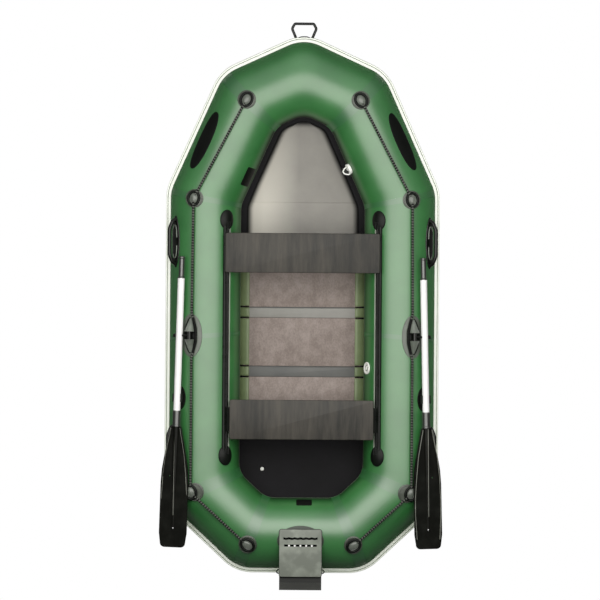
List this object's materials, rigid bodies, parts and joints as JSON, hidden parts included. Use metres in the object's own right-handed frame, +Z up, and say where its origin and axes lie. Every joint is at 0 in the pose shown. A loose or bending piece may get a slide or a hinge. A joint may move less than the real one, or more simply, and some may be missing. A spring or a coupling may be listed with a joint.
{
  "type": "inflatable rowing boat",
  "caption": "Inflatable rowing boat: polygonal tube ring, slatted floor, sliding board seats, stowed oars, grab handles, lifelines and a stern motor mount.",
  "frame": {"origin": "floor level, under the middle of the boat's overall length and width", "axes": "+X to starboard, +Y to the bow, +Z up"},
  "size_m": [1.3648, 2.7487, 0.4016],
  "materials": {
    "hull_fabric": "satin green PVC-coated fabric",
    "pocket_fabric": "pale green PVC-coated fabric",
    "strake_rubber": "satin, off-white",
    "floor_fabric": "grey PVC-coated fabric",
    "slat_board": "textured film-faced plywood, beige",
    "seat_board": "dark stained plywood",
    "rail_plastic": "black, satin",
    "fitting_plastic": "black, satin",
    "oar_aluminium": "white powder coat",
    "grip_plastic": "dark grey",
    "blade_plastic": "black, moulded",
    "rope": "braided, black with light flecks",
    "patch_fabric": "black PVC-coated fabric",
    "valve_plastic": "white",
    "mount_plate": "grey",
    "mount_board": "grey painted plywood"
  },
  "bodies": {
    "hull": {"tube_nose_port": "hull_fabric", "tube_bow_port": "hull_fabric", "tube_fore_port": "hull_fabric", "tube_aft_port": "hull_fabric", "tube_quarter_port": "hull_fabric", "slat_pocket_port": "pocket_fabric", "seat_rail_port": "rail_plastic", "rail_caps_port": "rail_plastic", "oarlock_base_port": "fitting_plastic", "oar_clip_port": "fitting_plastic", "grab_handles_port": "fitting_plastic", "rope_eyes_port": "fitting_plastic", "lifeline_port": "rope", "bow_patch_port": "patch_fabric", "tube_nose_starboard": "hull_fabric", "tube_bow_starboard": "hull_fabric", "tube_fore_starboard": "hull_fabric", "tube_aft_starboard": "hull_fabric", "tube_quarter_starboard": "hull_fabric", "slat_pocket_starboard": "pocket_fabric", "seat_rail_starboard": "rail_plastic", "rail_caps_starboard": "rail_plastic", "oarlock_base_starboard": "fitting_plastic", "oar_clip_starboard": "fitting_plastic", "grab_handles_starboard": "fitting_plastic", "rope_eyes_starboard": "fitting_plastic", "lifeline_starboard": "rope", "bow_patch_starboard": "patch_fabric", "tube_stern": "hull_fabric", "rub_strake": "strake_rubber", "bottom_fabric": "floor_fabric", "floor_mat": "floor_fabric", "floor_slat_fore": "slat_board", "floor_slat_middle": "slat_board", "floor_slat_aft": "slat_board", "bow_handle": "fitting_plastic", "motor_feet": "fitting_plastic", "valves": "valve_plastic", "stern_patch": "patch_fabric", "motor_plate": "mount_plate", "motor_board": "mount_board"},
    "oar_port": {"oarlock_pin_port": "fitting_plastic", "oar_shaft_port": "oar_aluminium", "oar_grip_port": "grip_plastic", "oar_socket_port": "blade_plastic", "oar_blade_port": "blade_plastic"},
    "oar_starboard": {"oarlock_pin_starboard": "fitting_plastic", "oar_shaft_starboard": "oar_aluminium", "oar_grip_starboard": "grip_plastic", "oar_socket_starboard": "blade_plastic", "oar_blade_starboard": "blade_plastic"},
    "front_seat": {"seat_front": "seat_board", "seat_front_shoes": "rail_plastic"},
    "rear_seat": {"seat_rear": "seat_board", "seat_rear_shoes": "rail_plastic"}
  },
  "joints": [
    {"name": "oar_port_lift", "type": "hinge", "parent": "hull", "child": "oar_port", "pos_m": [-0.54517, -0.147, 0.35251], "axis": [0, 1, 0], "range_deg": [0, 115]},
    {"name": "oar_starboard_lift", "type": "hinge", "parent": "hull", "child": "oar_starboard", "pos_m": [0.54517, -0.147, 0.35251], "axis": [0, -1, 0], "range_deg": [0, 115]},
    {"name": "front_seat_slide", "type": "slide", "parent": "hull", "child": "front_seat", "axis": [0, 1, 0], "range_m": [-0.3, 0.04]},
    {"name": "rear_seat_slide", "type": "slide", "parent": "hull", "child": "rear_seat", "axis": [0, 1, 0], "range_m": [-0.055, 0.3]}
  ]
}
